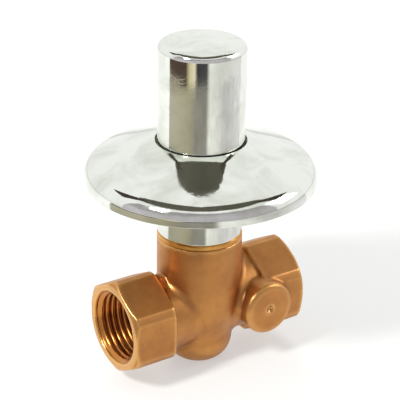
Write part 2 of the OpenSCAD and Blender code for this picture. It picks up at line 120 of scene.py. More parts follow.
class Wiring:
    """Adds shader nodes to one tree and joins them."""

    def __init__(self, tree: bpy.types.NodeTree) -> None:
        """Keeps the tree that the nodes go into.

        Args:
            tree: the tree of a material, a world or a node group.
        """
        self.tree = tree

    def add(self, kind: str, inputs: dict | None = None, **settings: object) -> bpy.types.Node:
        """Adds one node.

        Args:
            kind: the node's type without its ShaderNode prefix.
            inputs: a socket, value or constant for inputs, by name or number.
            settings: attributes of the node, such as operation.

        Returns:
            The new node.
        """
        node = self.tree.nodes.new("ShaderNode" + kind)
        for name, value in settings.items():
            setattr(node, name, value)
        for name, value in (inputs or {}).items():
            if isinstance(value, bpy.types.NodeSocket):
                self.tree.links.new(value, node.inputs[name])
            else:
                node.inputs[name].default_value = value
        return node

    def math(self, operation: str, first: object, second: object = 0.0) -> bpy.types.NodeSocket:
        """Adds a Math node.

        Args:
            operation: the name of the operation.
            first: a socket or a number.
            second: a socket or a number.

        Returns:
            The node's output.
        """
        return self.add("Math", {0: first, 1: second}, operation=operation).outputs[0]

    def span(
        self, value: object, low: float, high: float, to_low: float = 0.0, to_high: float = 1.0
    ) -> bpy.types.NodeSocket:
        """Maps a span of values onto another, held at its ends.

        Args:
            value: the socket to map.
            low: where the span starts.
            high: where the span ends.
            to_low: what the start becomes.
            to_high: what the end becomes.

        Returns:
            The mapped socket.
        """
        limits = {"Value": value, "From Min": low, "From Max": high, "To Min": to_low, "To Max": to_high}
        return self.add("MapRange", limits).outputs["Result"]

    def mix(self, factor: object, first: object, second: object) -> bpy.types.NodeSocket:
        """Mixes two colours.

        Args:
            factor: how much of the second, as a socket or number.
            first: a colour or socket.
            second: a colour or socket.

        Returns:
            The mixed colour.
        """
        return self.add("Mix", {0: factor, 6: first, 7: second}, data_type="RGBA").outputs[2]


def rgba(red: float, green: float, blue: float) -> tuple[float, float, float, float]:
    """Turns a colour as a screen shows it into the linear colour that shaders take.

    Args:
        red: its red, 0 to 255.
        green: its green.
        blue: its blue.

    Returns:
        The linear colour, with an alpha of 1.
    """
    linear = [((c / 255 + 0.055) / 1.055) ** 2.4 if c > 10 else c / 255 / 12.92 for c in (red, green, blue)]
    return (*linear, 1.0)


@dataclass(frozen=True)
class Effects:
    """The node groups that several finishes share."""

    grain: bpy.types.NodeTree
    turning: bpy.types.NodeTree
    handling: bpy.types.NodeTree

    @classmethod
    def build(cls) -> "Effects":
        """Makes each group once."""
        return cls(cls._grain(), cls._turning(), cls._handling())

    @staticmethod
    def _open(name: str, inputs: dict[str, float], outputs: Sequence[str]) -> tuple:
        """Starts a group with a coordinate input, named values and named outputs.

        Args:
            name: the group's name.
            inputs: the value inputs and their defaults.
            outputs: the names of the value outputs.

        Returns:
            The tree, its wiring, its input node and its output node.
        """
        tree = bpy.data.node_groups.new(name, "ShaderNodeTree")
        tree.interface.new_socket("Coordinates", in_out="INPUT", socket_type="NodeSocketVector")
        for label, value in inputs.items():
            socket = tree.interface.new_socket(label, in_out="INPUT", socket_type="NodeSocketFloat")
            socket.default_value = value
        for label in outputs:
            tree.interface.new_socket(label, in_out="OUTPUT", socket_type="NodeSocketFloat")
        into, out = tree.nodes.new("NodeGroupInput"), tree.nodes.new("NodeGroupOutput")
        return tree, Wiring(tree), into, out

    @classmethod
    def _grain(cls) -> bpy.types.NodeTree:
        """The blasted skin of a forging or the skin of a moulding: fine grain, pits and slow clouds.

        Returns:
            The group.
        """
        sizes = {"Grains per metre": 3500.0, "Clouds per metre": 130.0}
        tree, wire, into, out = cls._open("skin_grain", sizes, ("Height", "Clouds", "Pits"))
        where = into.outputs["Coordinates"]
        fine = wire.add(
            "TexNoise", {"Vector": where, "Scale": into.outputs[1], "Detail": 3.0, "Roughness": 0.6}
        )
        slow = wire.add(
            "TexNoise", {"Vector": where, "Scale": into.outputs[2], "Detail": 5.0, "Roughness": 0.62}
        )
        pit_scale = wire.math("MULTIPLY", into.outputs[1], 0.22)
        cells = wire.add("TexVoronoi", {"Vector": where, "Scale": pit_scale, "Randomness": 1.0})
        pits = wire.span(cells.outputs["Distance"], 0.0, 0.22, 1.0, 0.0)
        sunk = wire.math("MULTIPLY", pits, -0.35)
        wire.tree.links.new(wire.math("ADD", fine.outputs["Fac"], sunk), out.inputs["Height"])
        wire.tree.links.new(wire.span(slow.outputs["Fac"], 0.3, 0.7), out.inputs["Clouds"])
        wire.tree.links.new(pits, out.inputs["Pits"])
        return tree

    @classmethod
    def _turning(cls) -> bpy.types.NodeTree:
        """The fine rings that a lathe leaves, along Z and outwards from the Z axis of the coordinates.

        Returns:
            The group.
        """
        sizes = {"Rings per metre": 9000.0}
        tree, wire, into, out = cls._open("turning_lines", sizes, ("Height", "Bands"))
        parts = wire.add("SeparateXYZ", {"Vector": into.outputs["Coordinates"]})
        across = wire.math("MULTIPLY", parts.outputs[0], parts.outputs[0])
        along = wire.math("MULTIPLY", parts.outputs[1], parts.outputs[1])
        reach = wire.math("SQRT", wire.math("ADD", across, along))
        place = wire.math("ADD", wire.math("MULTIPLY", reach, 0.93), parts.outputs[2])
        line = wire.add("CombineXYZ", {0: place, 1: wire.math("MULTIPLY", reach, 0.02)})
        fine = wire.add("TexNoise", {"Vector": line.outputs[0], "Scale": into.outputs[1], "Detail": 2.0})
        broad_scale = wire.math("MULTIPLY", into.outputs[1], 0.12)
        broad = wire.add("TexNoise", {"Vector": line.outputs[0], "Scale": broad_scale, "Detail": 2.0})
        wire.tree.links.new(fine.outputs["Fac"], out.inputs["Height"])
        wire.tree.links.new(wire.span(broad.outputs["Fac"], 0.3, 0.7), out.inputs["Bands"])
        return tree

    @classmethod
    def _handling(cls) -> bpy.types.NodeTree:
        """What use leaves on plating: hair scratches, faint smears and specks.

        Returns:
            The group.
        """
        sizes = {"Smears per metre": 70.0, "Specks per metre": 900.0}
        tree, wire, into, out = cls._open("handling_marks", sizes, ("Scratches", "Smears", "Specks"))
        where = into.outputs["Coordinates"]
        smear = wire.add(
            "TexNoise",
            {"Vector": where, "Scale": into.outputs[1], "Detail": 4.0, "Roughness": 0.55, "Distortion": 0.8},
        )
        long_way = wire.add(
            "Mapping", {"Vector": where, "Rotation": (0.5, 0.3, 0.7), "Scale": (1.0, 1.0, 0.04)}
        )
        hair = wire.add("TexNoise", {"Vector": long_way.outputs[0], "Scale": 2600.0, "Detail": 1.0})
        specks = wire.add("TexVoronoi", {"Vector": where, "Scale": into.outputs[2]})
        wire.tree.links.new(wire.span(hair.outputs["Fac"], 0.66, 0.74), out.inputs["Scratches"])
        wire.tree.links.new(wire.span(smear.outputs["Fac"], 0.42, 0.68), out.inputs["Smears"])
        wire.tree.links.new(wire.span(specks.outputs["Distance"], 0.0, 0.09, 1.0, 0.0), out.inputs["Specks"])
        return tree


# Finishes


@dataclass(frozen=True)
class Finish:
    """What every finish has: a name, the shared effects and the stem's place."""

    name: str
    effects: Effects
    stem_x: float

    def start(self) -> tuple[bpy.types.Material, Wiring, bpy.types.Node]:
        """Opens a material.

        Returns:
            The material, its wiring and its Principled BSDF.
        """
        material = bpy.data.materials.new(self.name)
        material.use_nodes = True
        wire = Wiring(material.node_tree)
        return material, wire, material.node_tree.nodes["Principled BSDF"]

    def about(self, wire: Wiring, axis: Axis) -> bpy.types.NodeSocket:
        """Gives coordinates whose Z runs along the axis that a part is turned about.

        Args:
            wire: the material's wiring.
            axis: the ports' axis or the stem's.

        Returns:
            The coordinates.
        """
        where = wire.add("TexCoord").outputs["Object"]
        turn = (0.0, -math.pi / 2, 0.0) if axis is Axis.PORTS else (0.0, 0.0, 0.0)
        shift = (0.0, 0.0, 0.0) if axis is Axis.PORTS else (-self.stem_x, 0.0, 0.0)
        return wire.add("Mapping", {"Vector": where, "Location": shift, "Rotation": turn}).outputs[0]

    def effect(
        self, wire: Wiring, tree: bpy.types.NodeTree, where: object, **values: float
    ) -> bpy.types.Node:
        """Places a shared effect in the material.

        Args:
            wire: the material's wiring.
            tree: the effect's node group.
            where: the coordinates that it reads.
            values: its inputs by number, written as i1, i2 and so on.

        Returns:
            The group's node.
        """
        node = wire.add("Group", node_tree=tree)
        wire.tree.links.new(where, node.inputs[0])
        for name, value in values.items():
            node.inputs[int(name[1:])].default_value = value
        return node

    def bump(
        self, wire: Wiring, shader: bpy.types.Node, height: object, strength: float, depth: float
    ) -> None:
        """Feeds a height to the shader's normal.

        Args:
            wire: the material's wiring.
            shader: the Principled BSDF.
            height: the height's socket.
            strength: how strongly it shows, 0 to 1.
            depth: the depth of the relief in metres.
        """
        node = wire.add("Bump", {"Strength": strength, "Distance": depth, "Height": height})
        wire.tree.links.new(node.outputs[0], shader.inputs["Normal"])


@dataclass(frozen=True)
class ForgedBrass(Finish):
    """Raw forged brass, blasted: warm and cloudy, with painted highlights brightening its edges and painted
    shade darkening its corners.
    """

    mid: tuple = rgba(195, 136, 76)
    dark: tuple = rgba(170, 114, 66)
    bright: tuple = rgba(250, 200, 124)
    deep: tuple = rgba(112, 68, 42)

    def build(self) -> bpy.types.Material:
        """Makes the material, which reads the body's attribute of machined faces, painted edge highlights and
        painted corner shade.

        Returns:
            The finish.
        """
        material, wire, shader = self.start()
        where = wire.add("TexCoord").outputs["Object"]
        skin = self.effect(wire, self.effects.grain, where, i1=5200.0, i2=120.0)
        lines = self.effect(wire, self.effects.turning, self.about(wire, Axis.PORTS), i1=5200.0)
        # The attribute holds machined faces, painted highlight on convex edges and painted shade in concave
        # corners.
        marks = wire.add("Attribute", attribute_name="cut_and_painted_light", attribute_type="GEOMETRY")
        parts = wire.add("SeparateColor", {"Color": marks.outputs["Color"]})
        cut, edge, corner = parts.outputs[0], parts.outputs[1], parts.outputs[2]
        base = wire.mix(skin.outputs["Clouds"], self.dark, self.mid)
        base = wire.mix(wire.math("MULTIPLY", skin.outputs["Pits"], 0.25), base, self.deep)
        # Painted shade: concave corners are darkened towards the deep colour.
        base = wire.mix(wire.math("MULTIPLY", corner, 0.3), base, self.deep)
        # Painted highlight: convex edges are brightened towards the bright colour.
        base = wire.mix(wire.math("MULTIPLY", edge, 0.35), base, self.bright)
        base = wire.mix(wire.math("MULTIPLY", cut, 0.3), base, self.bright)
        wire.tree.links.new(base, shader.inputs["Base Color"])
        shader.inputs["Metallic"].default_value = 0.92
        rough = wire.span(skin.outputs["Clouds"], 0.0, 1.0, 0.47, 0.38)
        rough = wire.math("SUBTRACT", rough, wire.math("MULTIPLY", edge, 0.14))
        rough = wire.math("SUBTRACT", rough, wire.math("MULTIPLY", corner, 0.14))
        rough = wire.math("SUBTRACT", rough, wire.math("MULTIPLY", cut, 0.1))
        wire.tree.links.new(rough, shader.inputs["Roughness"])
        raw = wire.math("MULTIPLY", skin.outputs["Height"], wire.math("SUBTRACT", 1.0, cut))
        turned = wire.math("MULTIPLY", lines.outputs["Height"], wire.math("MULTIPLY", cut, 0.6))
        self.bump(wire, shader, wire.math("ADD", raw, turned), 0.5, 0.00006)
        return material


@dataclass(frozen=True)
class TurnedBrass(Finish):
    """Bright turned brass with lathe lines about one axis."""

    axis: Axis = Axis.STEM
    mid: tuple = rgba(226, 172, 96)
    dark: tuple = rgba(190, 130, 66)

    def build(self) -> bpy.types.Material:
        """Makes the material.

        Returns:
            The finish.
        """
        material, wire, shader = self.start()
        about = self.about(wire, self.axis)
        lines = self.effect(wire, self.effects.turning, about, i1=7000.0)
        skin = self.effect(wire, self.effects.grain, about, i1=3000.0, i2=220.0)
        tone = wire.math("MULTIPLY", skin.outputs["Clouds"], lines.outputs["Bands"])
        base = wire.mix(wire.span(tone, 0.0, 0.8, 0.25, 1.0), self.dark, self.mid)
        wire.tree.links.new(base, shader.inputs["Base Color"])
        shader.inputs["Metallic"].default_value = 1.0
        rough = wire.span(lines.outputs["Bands"], 0.0, 1.0, 0.2, 0.34)
        wire.tree.links.new(rough, shader.inputs["Roughness"])
        self.bump(wire, shader, lines.outputs["Height"], 0.35, 0.00003)
        return material


@dataclass(frozen=True)
class ChromePlate(Finish):
    """Polished chrome plate with faint smears, hair scratches and specks."""

    clean: tuple = rgba(235, 238, 231)
    smeared: tuple = rgba(213, 216, 206)

    def build(self) -> bpy.types.Material:
        """Makes the material.

        Returns:
            The finish.
        """
        material, wire, shader = self.start()
        about = self.about(wire, Axis.STEM)
        marks = self.effect(wire, self.effects.handling, about, i1=85.0, i2=420.0)
        lines = self.effect(wire, self.effects.turning, about, i1=2600.0)
        base = wire.mix(marks.outputs["Smears"], self.clean, self.smeared)
        base = wire.mix(wire.math("MULTIPLY", marks.outputs["Specks"], 0.35), base, rgba(120, 118, 112))
        wire.tree.links.new(base, shader.inputs["Base Color"])
        shader.inputs["Metallic"].default_value = 1.0
        smear = wire.math("MULTIPLY", marks.outputs["Smears"], 0.07)
        hair = wire.math("MULTIPLY", marks.outputs["Scratches"], 0.06)
        rough = wire.math("ADD", wire.math("ADD", smear, hair), 0.035)
        wire.tree.links.new(rough, shader.inputs["Roughness"])
        fine = wire.math("MULTIPLY", lines.outputs["Height"], 0.05)
        self.bump(wire, shader, wire.math("ADD", marks.outputs["Smears"], fine), 0.25, 0.00006)
        return material


@dataclass(frozen=True)
class Rubber(Finish):
    """Moulded black rubber with a dull bloom."""

    def build(self) -> bpy.types.Material:
        """Makes the material.

        Returns:
            The finish.
        """
        material, wire, shader = self.start()
        where = wire.add("TexCoord").outputs["Object"]
        skin = self.effect(wire, self.effects.grain, where, i1=2600.0, i2=260.0)
        base = wire.mix(skin.outputs["Clouds"], rgba(28, 28, 29), rgba(46, 46, 47))
        wire.tree.links.new(base, shader.inputs["Base Color"])
        rough = wire.span(skin.outputs["Clouds"], 0.0, 1.0, 0.42, 0.62)
        wire.tree.links.new(rough, shader.inputs["Roughness"])
        self.bump(wire, shader, skin.outputs["Height"], 0.3, 0.00003)
        return material


@dataclass(frozen=True)
class SpringSteel(Finish):
    """Bright rolled spring steel with a straight grain."""

    def build(self) -> bpy.types.Material:
        """Makes the material.

        Returns:
            The finish.
        """
        material, wire, shader = self.start()
        about = self.about(wire, Axis.STEM)
        lines = self.effect(wire, self.effects.turning, about, i1=5200.0)
        base = wire.mix(lines.outputs["Bands"], rgba(150, 152, 156), rgba(196, 198, 200))
        wire.tree.links.new(base, shader.inputs["Base Color"])
        shader.inputs["Metallic"].default_value = 1.0
        rough = wire.span(lines.outputs["Bands"], 0.0, 1.0, 0.22, 0.36)
        wire.tree.links.new(rough, shader.inputs["Roughness"])
        self.bump(wire, shader, lines.outputs["Height"], 0.3, 0.00002)
        return material


@dataclass(frozen=True)
class MouldedPlastic(Finish):
    """Off-white moulded plastic with a faint texture."""

    def build(self) -> bpy.types.Material:
        """Makes the material.

        Returns:
            The finish.
        """
        material, wire, shader = self.start()
        where = wire.add("TexCoord").outputs["Object"]
        skin = self.effect(wire, self.effects.grain, where, i1=2200.0, i2=180.0)
        base = wire.mix(skin.outputs["Clouds"], rgba(222, 219, 208), rgba(236, 234, 226))
        wire.tree.links.new(base, shader.inputs["Base Color"])
        rough = wire.span(skin.outputs["Clouds"], 0.0, 1.0, 0.36, 0.5)
        wire.tree.links.new(rough, shader.inputs["Roughness"])
        shader.inputs["Subsurface Weight"].default_value = 0.05
        shader.inputs["Subsurface Scale"].default_value = 0.001
        self.bump(wire, shader, skin.outputs["Height"], 0.25, 0.00003)
        return material


# Meshes


class Piece:
    """Turns a bmesh into a finished object that stands for parts of the valve."""

    @staticmethod
    def finish(
        mesh: bmesh.types.BMesh,
        name: str,
        material: bpy.types.Material,
        body: str,
        slot: str,
        stands_for: Sequence[str] = (),
    ) -> bpy.types.Object:
        """Makes the object and hands it to the frame.

        Args:
            mesh: the shape in metres, in the row frame. It is freed.
            name: the piece's name.
            material: its finish.
            body: the CAD body that it rides on.
            slot: the record's material slot; not used.
            stands_for: the CAD nodes that it replaces.

        Returns:
            The new object.
        """
        data = bpy.data.meshes.new(name)
        mesh.to_mesh(data)
        mesh.free()
        return Piece.hand_over(data, name, material, body, slot, stands_for)

    @staticmethod
    def hand_over(
        data: bpy.types.Mesh,
        name: str,
        material: bpy.types.Material,
        body: str,
        slot: str,
        stands_for: Sequence[str] = (),
    ) -> bpy.types.Object:
        """Makes the object from a mesh that is ready.

        Args:
            data: the mesh in metres, in the row frame.
            name: the piece's name.
            material: its finish.
            body: the CAD body that it rides on.
            slot: the record's material slot; not used.
            stands_for: the CAD nodes that it replaces.

        Returns:
            The new object.
        """
        data.shade_smooth()
        data.materials.clear()
        data.materials.append(material)
        piece = bpy.data.objects.new(name, data)
        bpy.context.scene.collection.objects.link(piece)
        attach(piece, body)
        if stands_for:
            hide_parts(*stands_for)
        LOG.info("%s: %d faces, rides on %s", name, len(data.polygons), body)
        return piece


def rounded_outline(
    corners: Sequence[tuple[float, float, float]], steps: int = 6
) -> list[tuple[float, float]]:
    """Rounds the corners of a closed outline.

    Args:
        corners: radius, height and rounding of each corner, in millimetres.
        steps: spans of each rounding.

    Returns:
        The outline's points.
    """
    points: list[tuple[float, float]] = []
    count = len(corners)
    for i, (r, z, bend) in enumerate(corners):
        here = Vector((r, z))
        if bend <= 0:
            points.append((r, z))
            continue
        back = (Vector(corners[i - 1][:2]) - here).normalized()
        ahead = (Vector(corners[(i + 1) % count][:2]) - here).normalized()
        half = back.angle(ahead) / 2
        centre = here + (back + ahead).normalized() * bend / math.sin(half)
        start = here + back * bend / math.tan(half) - centre
        stop = here + ahead * bend / math.tan(half) - centre
        sweep = start.angle_signed(stop)
        for k in range(steps + 1):
            angle = -sweep * k / steps
            turned = Matrix.Rotation(angle, 2) @ start
            points.append(tuple(centre + turned))
    return points


def turned(outline: Sequence[tuple[float, float]], centre: Vector, segments: int = 192) -> bmesh.types.BMesh:
    """Spins a closed outline about the stem's axis.

    Args:
        outline: radius and height of each point in millimetres. Points on the axis have radius 0.
        centre: a point on the axis, in metres.
        segments: steps round the axis.

    Returns:
        The solid's mesh, its faces outwards.
    """
    mesh = bmesh.new()
    points = [mesh.verts.new(centre + Vector((r, 0, z)) * MM) for r, z in outline]
    edges = [mesh.edges.new(pair) for pair in zip(points, points[1:] + points[:1])]
    edges = [e for e in edges if max((v.co - centre).xy.length for v in e.verts) > 1e-9]
    bmesh.ops.spin(
        mesh,
        geom=points + edges,
        cent=centre,
        axis=(0, 0, 1),
        angle=2 * math.pi,
        steps=segments,
        use_merge=True,
    )
    bmesh.ops.remove_doubles(mesh, verts=mesh.verts, dist=1e-7)
    bmesh.ops.delete(mesh, geom=[e for e in mesh.edges if not e.link_faces], context="EDGES")
    bmesh.ops.recalc_face_normals(mesh, faces=mesh.faces)
    return mesh


# The forged body


Field = tuple[np.ndarray, np.ndarray]


def rod(points: np.ndarray, axis: int, radius: float, centre: tuple = (0.0, 0.0, 0.0)) -> Field:
    """Distance to an endless rod and the way it grows.

    Args:
        points: places in millimetres, one a row.
        axis: 0, 1 or 2 for the axis along which it runs.
        radius: the rod's radius.
        centre: a point on its axis.

    Returns:
        The distances and their gradients.
    """
    out = points - np.array(centre)
    out[:, axis] = 0
    length = np.maximum(np.linalg.norm(out, axis=1), 1e-9)
    return length - radius, out / length[:, None]


def wall(points: np.ndarray, normal: Sequence[float], offset: float) -> Field:
    """Distance to a flat wall.

    Args:
        points: places in millimetres, one a row.
        normal: the way it faces.
        offset: how far it stands from the origin that way.

    Returns:
        The distances and their gradients.
    """
    way = np.array(normal, float)
    return points @ way - offset, np.broadcast_to(way, points.shape)


def cone(points: np.ndarray, axis: int, at: float, radius: float, slope: float) -> Field:
    """Distance to an endless cone.

    Args:
        points: places in millimetres.
        axis: the axis along which it runs.
        at: where along the axis the cone has the radius.
        radius: that radius.
        slope: how much the radius grows along the axis.

    Returns:
        The distances and their gradients.
    """
    gap, way = rod(points, axis, 0.0)
    lean = 1 / math.hypot(1, slope)
    gradient = way * lean
    gradient[:, axis] = -slope * lean
    return (gap - radius - slope * (points[:, axis] - at)) * lean, gradient


def invert(solid: Field) -> Field:
    """Turns a solid into the hole of its shape."""
    return -solid[0], -solid[1]


def join(first: Field, second: Field, blend: float = 0.0) -> Field:
    """Joins two solids with the blend that a rolling ball leaves between them.

    Args:
        first: one solid.
        second: the other.
        blend: the ball's radius.

    Returns:
        The joined solid.
    """
    (a, to_a), (b, to_b) = first, second
    nearer = a < b
    gap = np.where(nearer, a, b)
    way = np.where(nearer[:, None], to_a, to_b)
    if blend <= 0:
        return gap, way
    lean = np.clip((to_a * to_b).sum(1), -0.999, 0.999)
    u, v = a - blend, b - blend
    along_a = (u - lean * v) / (1 - lean * lean)
    along_b = (v - lean * u) / (1 - lean * lean)
    inside = (along_a < 0) & (along_b < 0)
    ball = along_a[:, None] * to_a + along_b[:, None] * to_b
    reach = np.maximum(np.linalg.norm(ball, axis=1), 1e-9)
    return np.where(inside, blend - reach, gap), np.where(inside[:, None], -ball / reach[:, None], way)


def clip(first: Field, second: Field, edge: float = 0.0) -> Field:
    """Keeps what lies in both solids, with the edge between them rounded by that radius."""
    return invert(join(invert(first), invert(second), edge))


@dataclass
class ForgedBody:
    """The forging: two hexagonal ports, barrel, neck, rounded bottom and blind boss, bored inside."""

    stem_x: float
    reach: float = 28.5
    flats: float = 25.0
    corners: float = 27.67
    hex_length: float = 13.2
    root_break: float = 0.6
    inlet_barrel: float = 21.0
    inlet_drop: float = -0.3
    outlet_barrel: float = 22.4
    barrel_change: float = 16.0
    barrel_end: float = 16.5
    outlet_rise: float = 1.0
    neck: float = 24.2
    taper_high: float = 1.5
    taper_low: float = -9.5
    neck_top: float = 22.2
    bottom: float = 19.6
    bottom_depth: float = 17.4
    bottom_round: float = 7.2
    boss: float = 15.8
    boss_offset: float = 14.8
    boss_face: float = 15.2
    socket: float = 21.2
    socket_depth: float = 13.0
    chamber: float = 18.56
    floor: float = 2.2
    seat: float = 3.6
    seat_bore: float = 9.96
    seat_ring: float = 1.8
    pocket: float = 12.4
    pocket_depth: float = 13.0
    passage: float = 8.0
    passage_step: float = 0.3
    passage_end: float = 16.0
    outlet_start: float = 7.3
    neck_thread: float = 19.76
    thread_floor: float = 13.2
    gasket: float = 22.02
    gasket_floor: float = 21.0
    first_voxel: float = 0.5
    voxel: float = 0.385
    rounds: int = 4

    def ports(self, p: np.ndarray) -> Field:
        """Both hexagons, folded onto one side, with blunted corners and a turned end.

        Args:
            p: places in millimetres, all on the outlet's side.

        Returns:
            The distances and their gradients.
        """
        solid = rod(p, 0, self.corners / 2)
        for turn in range(6):
            angle = math.radians(60 * turn)
            flat = wall(p, (0.0, math.cos(angle), math.sin(angle)), self.flats / 2)
            solid = clip(solid, flat, 0.7)
        end = cone(p, 0, self.reach, self.corners / 2 - 1.45, -1.7)
        solid = clip(solid, end, 0.35)
        solid = clip(solid, wall(p, (1, 0, 0), self.reach), 0.25)
        root = cone(p, 0, self.reach - self.hex_length, self.corners / 2 - self.root_break, 1.5)
        solid = clip(solid, root, 0.3)
        return clip(solid, wall(p, (-1, 0, 0), self.hex_length - self.reach), 0.25)

    @staticmethod
    def folded(p: np.ndarray) -> tuple[np.ndarray, np.ndarray]:
        """Folds both ends of the valve onto the outlet's side.

        Args:
            p: places in millimetres about the valve's own axis.

        Returns:
            The folded places, and what turns a gradient back at each of them.
        """
        mirrored = p.copy()
        mirrored[:, 0] = np.abs(p[:, 0])
        sign = np.where(p[:, :1] < 0, -1.0, 1.0)
        return mirrored, np.hstack([sign, np.ones_like(sign), np.ones_like(sign)])

    def outside(self, p: np.ndarray) -> Field:
        """The forging before it is bored.

        Args:
            p: places in millimetres about the valve's own axis.

        Returns:
            The distances and their gradients.
        """
        mirrored, sign = self.folded(p)
        gap, way = self.ports(mirrored)
        ports = gap, way * sign
        outwards = np.clip(p[:, 0] / self.barrel_change + 0.5, 0, 1)
        lifted = p.copy()
        lifted[:, 2] -= self.inlet_drop + (self.outlet_rise - self.inlet_drop) * outwards
        gap, way = rod(lifted, 0, self.inlet_barrel / 2)
        barrel = gap - (self.outlet_barrel - self.inlet_barrel) / 2 * outwards, way
        barrel = clip(barrel, wall(p, (1, 0, 0), self.barrel_end))
        barrel = clip(barrel, wall(p, (-1, 0, 0), self.barrel_end))
        upwards = np.clip((p[:, 2] - self.taper_low) / (self.taper_high - self.taper_low), 0, 1)
        gap, way = rod(p, 2, self.bottom / 2)
        upright = gap - (self.neck - self.bottom) / 2 * upwards * upwards * (3 - 2 * upwards), way
        upright = clip(upright, wall(p, (0, 0, 1), self.neck_top), 0.3)
        upright = clip(upright, wall(p, (0, 0, -1), self.bottom_depth), self.bottom_round)
        boss = rod(p, 1, self.boss / 2, (self.boss_offset, 0, 0))
        boss = clip(boss, wall(p, (0, -1, 0), self.boss_face), 1.5)
        boss = clip(boss, wall(p, (0, 1, 0), 0.0))
        solid = join(join(barrel, upright, 2.3), ports, 0.8)
        return join(solid, boss, 1.2)

    def bores(self, p: np.ndarray) -> Field:
        """All that is cut out: sockets for the threads, passages, chambers, seat and centre mark.

        Args:
            p: places in millimetres about the valve's own axis.

        Returns:
            The distances and their gradients.
        """
        mirrored, sign = self.folded(p)
        bottom = wall(mirrored, (-1, 0, 0), self.socket_depth - self.reach)
        port = clip(rod(mirrored, 0, self.socket / 2), bottom)
        port = join(port, cone(mirrored, 0, self.reach, 10.8, 1.0), 0.0)
        gap, way = clip(port, bottom)
        cut = gap, way * sign
        passage_r = self.passage / 2
        low = -self.passage_step - passage_r
        high = self.floor + self.passage_step + passage_r
        inlet = clip(rod(p, 0, passage_r, (0, 0, low)), wall(p, (1, 0, 0), 0.0))
        inlet = clip(inlet, wall(p, (-1, 0, 0), self.passage_end))
        outlet = clip(rod(p, 0, passage_r, (0, 0, high)), wall(p, (-1, 0, 0), -self.outlet_start))
        outlet = clip(outlet, wall(p, (1, 0, 0), self.passage_end))
        pocket = clip(rod(p, 2, self.pocket / 2), wall(p, (0, 0, 1), 0.0))
        pocket = clip(pocket, wall(p, (0, 0, -1), self.pocket_depth), 0.4)
        hole = clip(rod(p, 2, self.seat_bore / 2), wall(p, (0, 0, 1), self.seat + 2))
        hole = clip(hole, wall(p, (0, 0, -1), 3.0))
        ring = clip(rod(p, 2, self.seat_bore / 2 + self.seat_ring), wall(p, (0, 0, 1), self.seat))
        chamber = clip(rod(p, 2, self.chamber / 2), wall(p, (0, 0, -1), -self.floor))
        chamber = clip(chamber, invert(ring), 0.2)
        thread = clip(rod(p, 2, self.neck_thread / 2), wall(p, (0, 0, -1), -self.thread_floor))
        recess = clip(rod(p, 2, self.gasket / 2), wall(p, (0, 0, -1), -self.gasket_floor))
        for part in (inlet, outlet, pocket, hole, chamber, thread, recess):
            cut = join(cut, part)
        mark_place = p - np.array([self.boss_offset, 0, 0])
        return join(cut, cone(mark_place, 1, -self.boss_face, 1.3, -1.0))

    def field(self, p: np.ndarray) -> tuple[Field, np.ndarray]:
        """The bored body.

        Args:
            p: places in millimetres about the valve's own axis.

        Returns:
            The solid, and how near each place is to a cut surface rather than a forged one.
        """
        outside, bores = self.outside(p), self.bores(p)
        cut = clip(outside, invert(bores), 0.12)
        ends = np.minimum(np.abs(np.abs(p[:, 0]) - self.reach), np.abs(p[:, 2] - self.neck_top))
        machined = np.minimum(np.abs(bores[0]), ends)
        return cut, machined

    def build(self, node: bpy.types.Object, material: bpy.types.Material) -> bpy.types.Object:
        """Remeshes a copy of the CAD body finely and moves its points onto the forged form.

        Args:
            node: the CAD node, which is left as it is.
            material: the forged finish.

        Returns:
            The dressed body.
        """
        copy = bmesh.new()
        copy.from_mesh(node.data)
        bmesh.ops.remove_doubles(copy, verts=copy.verts, dist=1e-7)
        data = bpy.data.meshes.new("forging")
        copy.to_mesh(data)
        copy.free()
        rough = self.remeshed(data, self.first_voxel)
        self.settle(rough)
        fine = self.remeshed(rough, self.voxel)
        self.settle(fine)
        return Piece.hand_over(fine, "body_forging", material, "valve", "forged_brass", ("valve_body",))

    @staticmethod
    def remeshed(data: bpy.types.Mesh, voxel: float) -> bpy.types.Mesh:
        """Covers a mesh with an even net.

        Args:
            data: the mesh.
            voxel: the size of the net's squares in millimetres.

        Returns:
            The new mesh.
        """
        raw = bpy.data.objects.new("forging", data)
        bpy.context.scene.collection.objects.link(raw)
        remesh = raw.modifiers.new("voxels", "REMESH")
        remesh.mode = "VOXEL"
        remesh.voxel_size = voxel * MM
        bpy.context.view_layer.update()
        seen = raw.evaluated_get(bpy.context.evaluated_depsgraph_get())
        net = bpy.data.meshes.new_from_object(seen)
        bpy.data.objects.remove(raw)
        for layer in [a for a in net.attributes if a.name == "cut_and_painted_light"]:
            net.attributes.remove(layer)
        return net

